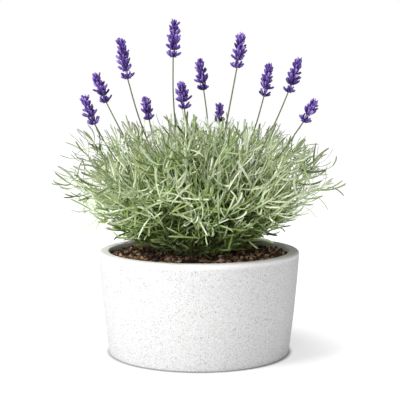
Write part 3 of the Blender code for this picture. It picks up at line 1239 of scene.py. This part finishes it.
@dataclass
class Foliage:
    """The leafy shoots. Each frame shoot gets one piece: its own shoot and side shoots for its share."""

    leaves: LeafMaker
    mound: Mound
    planter: Planter
    soil: SoilBed
    shoot_count: int = 235
    lowest: float = math.radians(12)
    steepest: float = math.radians(87)
    droop: float = math.radians(7)
    arching: float = 1.22
    node_gap: float = 0.0096
    bare_length: float = 0.020
    stem_radius: float = 0.00130
    sway: float = 0.0022
    stem_step: float = 0.012
    pull: float = 0.33
    tone: float = 0.66
    tone_spread: float = 0.09
    stem_tone: float = 0.22
    young_start: float = 0.72
    young_share: float = 0.28
    tip_leaves: int = 5
    opening: float = 66.0
    opening_spread: float = 11.0
    young_narrowing: float = 12.0
    inner_shade: float = 0.22
    tufts: tuple[int, ...] = (0, 0, 0, 0, 1)
    main_inset: float = 0.020
    side_inset: float = 0.023
    overhang: float = 0.008
    rim_margin: float = 0.002
    rim_clearance: float = 0.0006
    soil_clearance: float = 0.0015
    outside_drop: float = 0.004

    def frame_shoots(self) -> dict[str, tuple[Vector, Vector]]:
        """The start and the direction of each frame shoot, seen from the crown's centre.

        Returns:
            Each shoot's start and direction, by its node's name.
        """
        found = {}
        for name in node_names("leafy_shoot"):
            away = node_points(name) - np.array(self.mound.centre)
            distance = np.linalg.norm(away, axis=1)
            order = np.argsort(distance)
            start = Vector(away[order[:4]].mean(axis=0)) + self.mound.centre
            tips = away[order[-6:]].mean(axis=0)
            found[name] = (start, Vector(tips).normalized())
        return found

    def directions(self) -> list[Vector]:
        """Directions spread evenly over the mound, from the soil to the top.

        Returns:
            The directions, of length 1.
        """
        low, high = math.sin(self.lowest), math.sin(self.steepest)
        golden = math.pi * (3 - math.sqrt(5))
        found = []
        for i in range(self.shoot_count):
            height = low + (high - low) * (i + 0.5) / self.shoot_count
            flat = math.sqrt(1 - height**2)
            around = golden * i
            found.append(Vector((math.cos(around) * flat, math.sin(around) * flat, height)))
        return found

    def course(self, start: Vector, leaving: Vector, direction: Vector, reach: float) -> Course:
        """A shoot's curve, which rises from its start and arches over towards the mound's surface.

        Args:
            start: Where it starts.
            leaving: The direction it starts in.
            direction: Where its tip lies, seen from the centre of the crown.
            reach: How far the tip is from there.

        Returns:
            The curve.
        """
        elevation = math.asin(direction.z)
        azimuth = math.atan2(direction.y, direction.x)
        arriving = min(self.steepest, self.arching * elevation - self.droop)
        flat = math.cos(arriving)
        heading = Vector((math.cos(azimuth) * flat, math.sin(azimuth) * flat, math.sin(arriving)))
        tip = self.mound.centre + direction * reach
        pull = (tip - start).length * self.pull
        return Course((start, start + leaving * pull, tip - heading * pull, tip))

    def shoot(self, heap: Heap, draw: random.Random, course: Course, woody: float) -> None:
        """Grow one shoot: its stem, its pairs of leaves with tufts in their axils, and its leafy tip.

        Args:
            heap: Where it goes.
            draw: The source of its variety.
            course: The curve it follows.
            woody: The share of its length that is bare.
        """
        length = course.length()
        sway = [scatter(draw, self.sway) for _ in range(3)]

        def place(t: float) -> Vector:
            """The swaying stem's place at a share of the way."""
            wave = sway[0] * math.sin(math.pi * t) + sway[1] * math.sin(2 * math.pi * t)
            return course.point(t) + wave + sway[2] * math.sin(3 * math.pi * t)

        steps = max(5, int(length / self.stem_step))
        centres = [place(i / steps) for i in range(steps + 1)]
        radii = [self.stem_radius * (1.15 - 0.5 * i / steps) for i in range(steps + 1)]
        tone = draw.gauss(self.tone, self.tone_spread)
        ages = [max(0.0, 0.75 * (1 - i / steps / max(woody, 0.05))) for i in range(steps + 1)]
        heap.add_tube(centres, radii, 5, tone + self.stem_tone, ages)
        distance = max(self.bare_length, woody * length)
        turn = draw.uniform(0, math.tau)
        while distance < length:
            t = distance / length
            forward = (place(min(1, t + 0.02)) - place(max(0, t - 0.02))).normalized()
            axes = axes_along(forward, UP)
            young = max(0.0, (t - self.young_start) / self.young_share)
            for side in (0.0, math.pi):
                angle = turn + side + draw.gauss(0, 0.25)
                outward = sideways(axes, angle)
                self.leaf_at(heap, draw, place(t), forward, outward, young, tone, t)
            turn += math.pi / 2 + draw.gauss(0, 0.2)
            distance += self.node_gap * draw.uniform(0.85, 1.25) * (1 - 0.35 * young)
        forward = course.heading(1)
        for i in range(self.tip_leaves):
            angle = turn + math.tau * i / self.tip_leaves
            axes = axes_along(forward, UP)
            outward = sideways(axes, angle)
            opening = forward + outward * draw.uniform(0.15, 0.75)
            self.leaves.grow(heap, draw, place(1.0), opening, forward - outward, Habit.TIP, tone + 0.08)

    def leaf_at(
        self,
        heap: Heap,
        draw: random.Random,
        base: Vector,
        forward: Vector,
        outward: Vector,
        young: float,
        tone: float,
        t: float,
    ) -> None:
        """Grow one leaf of a pair, and now and then a tuft in its axil.

        Args:
            heap: Where it goes.
            draw: The source of its variety.
            base: Its foot, on the stem.
            forward: The direction of the stem.
            outward: The direction away from the stem.
            young: How close it is to the tip, from 0 to 1.
            tone: The shoot's tone.
            t: Its share of the way along the shoot.
        """
        spread = math.radians(draw.gauss(self.opening, self.opening_spread) - self.young_narrowing * young)
        lift = UP * draw.uniform(0.0, 0.30)
        opening = forward * math.cos(spread) + outward * math.sin(spread) + lift
        inner = forward * math.sin(spread) - outward * math.cos(spread)
        shade = tone - self.inner_shade * (1 - t)
        self.leaves.grow(heap, draw, base, opening, inner, Habit.FULL, shade)
        for _ in range(draw.choice(self.tufts)):
            tilt = scatter(draw, 0.25)
            narrow = forward + outward * draw.uniform(0.15, 0.6) + tilt + lift
            self.leaves.grow(heap, draw, base, narrow, inner, Habit.AXIL, shade + 0.06)

    def keep_clear(self, heap: Heap) -> None:
        """Lift the points that would sink into the soil or the planter's rim, and draw in far ones.

        Args:
            heap: The leaves and stems.
        """
        rim_inner = self.planter.rim_radius - self.planter.wall - self.rim_margin
        rim_outer = self.planter.rim_radius + self.rim_margin
        for points in heap.points:
            distance = np.hypot(points[:, 0], points[:, 1])
            over_rim = (distance > rim_inner) & (distance < rim_outer)
            over_soil = self.soil.level + self.soil_clearance
            floor = np.where(over_rim, self.planter.height + self.rim_clearance, over_soil)
            floor = np.where(distance >= rim_outer, self.planter.height - self.outside_drop, floor)
            np.maximum(points[:, 2], floor, out=points[:, 2])
            draw_in(points, self.mound.half_width + self.overhang)

    def build(self, material: bpy.types.Material) -> None:
        """Grow every piece of foliage.

        Args:
            material: Their finish.
        """
        shoots = self.frame_shoots()
        shares: dict[str, list[Vector]] = {name: [] for name in shoots}
        for direction in self.directions():
            nearest = max(shoots, key=lambda name: shoots[name][1].dot(direction))
            shares[nearest].append(direction)
        total = 0
        for number, (name, (start, direction)) in enumerate(shoots.items(), 1):
            draw = random.Random(100 + number)
            heap = Heap()
            leaving = (start - self.mound.centre).normalized() + UP * 0.4
            reach = self.mound.reach(direction) - self.main_inset
            main = self.course(start, leaving.normalized(), direction, reach)
            self.shoot(heap, draw, main, 0.30)
            for side in shares[name]:
                fork = draw.uniform(0.06, 0.38)
                reach = self.mound.reach(side) * draw.uniform(0.68, 1.04) - self.side_inset
                begin = main.point(fork)
                branch = self.course(begin, (main.heading(fork) + side * 0.6).normalized(), side, reach)
                self.shoot(heap, draw, branch, 0.12)
            self.keep_clear(heap)
            piece = heap.piece(f"foliage_{number:02d}", material, 62)
            declare(piece, "leaf", name)
            total += len(piece.data.polygons)
        log.info("foliage: %d faces", total)


@dataclass
class Crown:
    """The woody crown: a knotted base and the old stems that fan out of it."""

    mound: Mound
    foliage: Foliage
    stem_length: float = 0.016
    stem_radius: float = 0.0034
    stem_taper: float = 0.0021
    sway: float = 0.0012
    foot_radius: float = 0.021
    skirt_radius: float = 0.024

    def build(self, material: bpy.types.Material) -> None:
        """Make the crown.

        Args:
            material: Its finish.
        """
        draw = random.Random(5)
        low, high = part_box("woody_crown")
        radius = high.x
        middle = self.mound.centre.z
        heap = Heap()
        bench = Bench("crown_dome", 40, self.foot_radius, low.z, filled=True)
        bench.draw_to(low.z + 0.006, self.skirt_radius)
        for i in range(1, 13):
            turn = math.radians(90 * (i - 1) / 12)
            height = middle + (high.z - 0.001 - middle) * math.sin(turn)
            bench.draw_to(height, radius * 0.98 * math.cos(turn) + 0.0004)
        bench.pinch(high.z - 0.0008)
        dome = Pattern.take(bench.done(), lambda place: 0.0)
        around = np.arctan2(dome.points[:, 1], dome.points[:, 0])
        rough = 0.94 + 0.035 * np.cos(8 * around) + 0.02 * np.sin(17 * around + dome.points[:, 2] * 900)
        dome.points[:, :2] *= rough[:, None]
        growth = np.tile((0.0, 0.4, 0.0, 0.0), (len(dome.points), 1))
        heap.add(dome.points, dome.faces, growth)
        for start, _ in self.foliage.frame_shoots().values():
            outward = (start - self.mound.centre).normalized()
            foot = self.mound.centre + (start - self.mound.centre) * 0.45
            steps = 7
            bend = scatter(draw, self.sway)
            centres = [foot + outward * (self.stem_length * i / steps) for i in range(steps + 1)]
            centres = [centre + bend * math.sin(math.pi * i / steps) for i, centre in enumerate(centres)]
            radii = [self.stem_radius - self.stem_taper * i / steps for i in range(steps + 1)]
            radii = [plain + draw.uniform(-0.0002, 0.0002) for plain in radii]
            heap.add_tube(centres, radii, 9, draw.uniform(0.2, 0.9), [0.0] * (steps + 1))
        declare(heap.piece("crown_wood", material, 40), "wood", "woody_crown")


# Flowers


@dataclass
class Blooms:
    """The flower stems and their spikes of buds."""

    bud_length: float = 0.0098
    bud_width: float = 0.0032
    whorl_gap: float = 0.0072
    stem_sides: int = 8
    stem_radius: float = 0.00112
    stem_taper: float = 0.00030
    stem_steps: int = 5
    stalk_radius: float = 0.0010
    stalk_steps: int = 8
    stalk_inset: float = 0.002
    tip_room: float = 0.005
    lowest_gap: float = 0.60
    tip_buds: int = 5
    outer_buds: int = 8
    inner_buds: int = 4
    bracts: int = 4
    most_lean: float = 1.36
    tone_spread: float = 0.2
    bud: Pattern = field(init=False)

    def __post_init__(self) -> None:
        """Model the bud that is copied."""
        bench = Bench("bud_pattern", 6, 0.5, 0.0, filled=True)
        for height, width in BUD_OUTLINE:
            bench.draw_to(height, 0.5 * width)
        bench.pinch(1.0)
        bud = bench.done()
        for vert in bud.data.vertices:
            foot = 0.5 if vert.co.z < 0.01 else 1.0
            vert.co.x *= self.bud_width * foot
            vert.co.y *= self.bud_width * foot * 0.9
        self.bud = Pattern.take(bud, self.rib)

    def rib(self, place: Vector) -> float:
        """Every other corner of a bud is a rib."""
        return float(round(math.atan2(place.x, place.y) / (math.tau / 6)) % 2)

    def stem(self, name: str, node: str, material: bpy.types.Material) -> None:
        """Make one flower stem along the rings of its frame node.

        Args:
            name: The piece's name.
            node: The frame node it stands for.
            material: Its finish.
        """
        points = node_points(node)
        centre = np.array((0.0, 0.0, points[:, 2].min()))
        order = np.argsort(np.linalg.norm(points - centre, axis=1))
        rings = [Vector(points[order[i : i + 4]].mean(axis=0)) for i in range(0, len(points), 4)]
        centres: list[Vector] = []
        for i in range(len(rings) - 1):
            before, after = rings[max(0, i - 1)], rings[min(len(rings) - 1, i + 2)]
            for step in range(self.stem_steps):
                t = step / self.stem_steps
                centres.append(self.between(before, rings[i], rings[i + 1], after, t))
        centres.append(rings[-1])
        count = len(centres) - 1
        radii = [self.stem_radius - self.stem_taper * i / count for i in range(count + 1)]
        heap = Heap()
        heap.add_tube(centres, radii, self.stem_sides, 0.5, [0.0] * (count + 1))
        declare(heap.piece(name, material, 60), "stem", node)

    @staticmethod
    def between(before: Vector, start: Vector, end: Vector, after: Vector, t: float) -> Vector:
        """A place on a smooth curve from start to end that heads from the point before to the one after.

        Args:
            before: The point before the start.
            start: Where the curve starts.
            end: Where it ends.
            after: The point after the end.
            t: The share of the way, from 0 to 1.

        Returns:
            The place.
        """
        a = 2 * start
        b = end - before
        c = 2 * before - 5 * start + 4 * end - after
        d = 3 * start - before - 3 * end + after
        return 0.5 * (a + b * t + c * t * t + d * t**3)

    def spike(self, name: str, node: str, seed: int, material: bpy.types.Material) -> None:
        """Make one spike: a stalk with whorls of buds that open upwards, the lowest one apart.

        Args:
            name: The piece's name.
            node: The frame node it stands for.
            seed: The seed of its variety.
            material: Its finish.
        """
        draw = random.Random(seed)
        points = node_points(node)
        top = Vector(points[np.argmax(points[:, 2])])
        order = np.argsort(np.linalg.norm(points - np.array(top), axis=1))
        foot = Vector(points[order[-6:]].mean(axis=0))
        axis = (top - foot).normalized()
        length = (top - foot).length
        axes = axes_along(axis, Vector((0, -1, 0)))
        heap = Heap()
        rows = max(4, round(length / self.whorl_gap))
        gap = (length - self.tip_room) / (rows + self.lowest_gap)
        rings = range(self.stalk_steps + 1)
        stalk = [foot + axis * (length - self.stalk_inset) * i / self.stalk_steps for i in rings]
        radii = [self.stalk_radius - 0.00005 * i for i in rings]
        heap.add_tube(stalk, radii, 6, 0.3, [0.55] * len(rings))
        for row in range(rows):
            climb = row / (rows - 1)
            height = gap * (0.08 + row + (self.lowest_gap if row else 0.0))
            size = (0.94 if row == 0 else 1.02 - 0.20 * climb**2) * (0.94 + 3.2 * length)
            self.whorl(heap, draw, foot + axis * height, axes, row, climb, size)
        for i in range(self.tip_buds):
            angle = math.tau * i / self.tip_buds + draw.uniform(-0.3, 0.3)
            out = sideways(axes, angle)
            opening = axis + out * draw.uniform(0.30, 0.75)
            base = foot + axis * (length - self.bud_length * 0.88)
            self.add_bud(heap, draw, base, opening, out, 0.80, 0.12, 0.66, 0.30)
        declare(heap.piece(name, material, 70), "flower", node)

    def whorl(
        self,
        heap: Heap,
        draw: random.Random,
        centre: Vector,
        axes: Matrix,
        row: int,
        climb: float,
        size: float,
    ) -> None:
        """Add one whorl: an outer ring of spreading buds and an inner ring of upright ones.

        Args:
            heap: Where it goes.
            draw: The source of its variety.
            centre: Its middle, on the stalk.
            axes: The spike's directions, Z along the stalk.
            row: Its number from the foot.
            climb: Its height on the spike, from 0 to 1.
            size: The size of its buds.
        """
        rings = ((self.outer_buds, 1.20 - 0.30 * climb), (self.inner_buds, 0.58 - 0.10 * climb))
        for ring, (count, lean) in enumerate(rings):
            start = math.pi / 6 * row + draw.uniform(-0.25, 0.25)
            for i in range(count):
                angle = start + math.tau * (i + draw.uniform(-0.18, 0.18)) / count
                out = sideways(axes, angle)
                leaning = min(self.most_lean, lean + draw.gauss(0, 0.17) + (0.14 if row == 0 else 0.0))
                opening = axes.col[2] * math.cos(leaning) + out * math.sin(leaning)
                lift = axes.col[2] * (draw.uniform(-0.0007, 0.0007) + 0.0014 * ring)
                base = centre + out * 0.0006 + lift
                share = size * (1 - 0.12 * ring)
                self.add_bud(heap, draw, base, opening, out, share, -0.08 * (1 - climb), 1.0, 1.0)
        for i in range(self.bracts):
            angle = math.tau * i / self.bracts + draw.uniform(-0.4, 0.4)
            out = sideways(axes, angle)
            points = self.bud.points * (0.5, 0.4, 1.0)
            shaped = arc_place(points, self.bud_length * 0.42 * size, -0.5, 0.0)
            frame_axes = axes_along(out + axes.col[2] * 0.35, axes.col[2])
            heap.add_copy(self.bud, shaped, centre - axes.col[2] * 0.0006, frame_axes, 0.2, 0.55)

    def add_bud(
        self,
        heap: Heap,
        draw: random.Random,
        base: Vector,
        opening: Vector,
        out: Vector,
        size: float,
        tone: float,
        slim: float,
        curl: float,
    ) -> None:
        """Add one bud, which curls up towards the stalk.

        Args:
            heap: Where it goes.
            draw: The source of its variety.
            base: Its foot.
            opening: The direction it opens in.
            out: The direction away from the stalk.
            size: Its size, where 1 is a full bud.
            tone: How much lighter it is.
            slim: Its width, where 1 is a full one.
            curl: How much it curls.
        """
        length = self.bud_length * size * draw.uniform(0.78, 1.16)
        broad, deep = (size * slim * draw.uniform(0.82, 1.08) for _ in range(2))
        points = self.bud.points * (broad, deep, 1.0)
        shaped = arc_place(points, length, curl * draw.uniform(0.35, 0.95), 0.0)
        own_tone = 0.5 + tone + draw.gauss(0, self.tone_spread)
        heap.add_copy(self.bud, shaped, base, axes_along(opening, -out), own_tone, 0.0)

    def build(self, stem_material: bpy.types.Material, bud_material: bpy.types.Material) -> None:
        """Make every flower stem and spike.

        Args:
            stem_material: The finish of the stems.
            bud_material: The finish of the spikes.
        """
        for number, node in enumerate(node_names("flower_stem"), 1):
            self.stem(f"bloom_stem_{number:02d}", node, stem_material)
        for number, node in enumerate(node_names("flower_spike"), 1):
            self.spike(f"bloom_spike_{number:02d}", node, 500 + number, bud_material)


# Studio


@dataclass
class Studio:
    """A white floor that glows as painted light, with a painted shadow round the planter's foot, and a soft
    light from the upper left, as for a catalogue picture.
    """

    camera_place: Place = (0.0012, -1.345, 0.325)
    camera_pitch: float = math.radians(5.74)
    lens: float = 97.8
    key_power: float = 54.0
    fill_power: float = 13.0
    sky: float = 0.27
    bright_side: Place = (-0.72, -0.30, 0.62)
    key_place: Place = (-1.50, -1.10, 1.80)
    fill_place: Place = (-0.35, -2.15, 0.75)
    aim_height: float = 0.16
    floor_size: float = 14.0
    contact_shadow_zone: tuple[float, float] = (0.111, 0.119)
    painted_glow_zone: tuple[float, float] = (0.120, 0.230)

    def floor(self) -> None:
        """Lay the floor. It glows almost white far off and less near the planter, painted light that washes
        out its shadows, with a dark painted contact shadow under the planter's foot.
        """
        bpy.ops.object.select_all(action="DESELECT")
        bpy.ops.mesh.primitive_plane_add(size=self.floor_size, location=(0, 0, 0))
        floor = bpy.context.object
        floor.name = "studio_floor"
        finish = Finish("floor_painted_glow_and_shadow", 0.9, Specular_IOR_Level=0.0, Emission_Strength=1.0)
        finish.shader.inputs["Base Color"].default_value = (0.40, 0.40, 0.40, 1.0)
        far = finish.node("ShaderNodeVectorMath", {"operation": "LENGTH"}, {0: finish.place()}, "Value")
        # Painted contact shadow: the emission falls almost to nothing at the planter's foot, and stays dimmer
        # near the planter.
        near = finish.blend(far.ramp(*self.contact_shadow_zone), (0.03, 0.03, 0.03), (0.62, 0.62, 0.62))
        glow = finish.blend(far.ramp(*self.painted_glow_zone), near, (0.97, 0.97, 0.97))
        finish.tree.links.new(glow.socket, finish.shader.inputs["Emission Color"])
        floor.data.materials.append(finish.material)

    def lamp(self, name: str, place: Sequence[float], size: float, power: float) -> None:
        """Hang a square soft lamp that looks at the plant.

        Args:
            name: The lamp's name.
            place: Where it hangs.
            size: The length of its side.
            power: Its power, in watts.
        """
        light = bpy.data.lights.new(name, "AREA")
        light.shape = "SQUARE"
        light.size = size
        light.energy = power
        lamp = bpy.data.objects.new(name, light)
        lamp.location = place
        aim = Vector((0, 0, self.aim_height)) - Vector(place)
        lamp.rotation_mode = "QUATERNION"
        lamp.rotation_quaternion = aim.to_track_quat("-Z", "Y")
        bpy.context.scene.collection.objects.link(lamp)

    def world(self) -> None:
        """Make the sky: plain white to look at, and brighter from the left and above than from the right."""
        world = bpy.data.worlds.new("studio_world")
        world.use_nodes = True
        bpy.context.scene.world = world
        tree = world.node_tree
        tree.nodes.clear()
        way = make_node(tree, "ShaderNodeTexCoord", {}, {}, "Generated")
        measure = {"operation": "DOT_PRODUCT"}
        dot = make_node(tree, "ShaderNodeVectorMath", measure, {0: way, 1: self.bright_side}, "Value")
        soft = dot.ramp(-1.0, 1.0) * 1.25 + 0.12
        white = (1, 1, 1, 1)
        lit = make_node(tree, "ShaderNodeBackground", {}, {"Color": white, "Strength": soft * self.sky})
        seen = make_node(tree, "ShaderNodeBackground", {}, {"Color": white, "Strength": 1.0})
        eye = make_node(tree, "ShaderNodeLightPath", {}, {}, "Is Camera Ray")
        mixed = make_node(tree, "ShaderNodeMixShader", {}, {0: eye, 1: lit, 2: seen})
        make_node_output(tree, mixed)

    def camera(self) -> None:
        """Set up the camera."""
        data = bpy.data.cameras.new("portrait")
        data.lens = self.lens
        data.sensor_width = 36.0
        camera = bpy.data.objects.new("portrait", data)
        camera.location = self.camera_place
        camera.rotation_euler = (math.pi / 2 - self.camera_pitch, 0, 0)
        bpy.context.scene.collection.objects.link(camera)
        bpy.context.scene.camera = camera

    def build(self) -> None:
        """Set up floor, lights, sky and camera."""
        self.floor()
        self.lamp("key", self.key_place, 0.8, self.key_power)
        self.lamp("fill", self.fill_place, 0.7, self.fill_power)
        self.world()
        self.camera()
        bpy.context.scene.view_settings.view_transform = "Standard"


def make_node_output(tree: bpy.types.NodeTree, shader: Sock) -> None:
    """Link a world's surface."""
    output = tree.nodes.new("ShaderNodeOutputWorld")
    tree.links.new(shader.socket, output.inputs["Surface"])


def write_sizes() -> None:
    """Update the view layer."""
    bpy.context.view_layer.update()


def main() -> None:
    """Build every piece."""
    logging.basicConfig(level=logging.INFO, format="%(message)s")
    planter = Planter()
    planter.build(PlanterFinish().make())
    soil = SoilBed(planter)
    soil_finish = SoilFinish().make()
    soil.bed(soil_finish)
    soil.chips(soil_finish)
    mound = Mound()
    foliage = Foliage(LeafMaker(mound=mound), mound, planter, soil)
    foliage.build(LeafFinish().make())
    Crown(mound, foliage).build(BarkFinish().make())
    Blooms().build(StemFinish().make(), BudFinish().make())
    Studio().build()
    write_sizes()


if __name__ == "__main__":
    main()
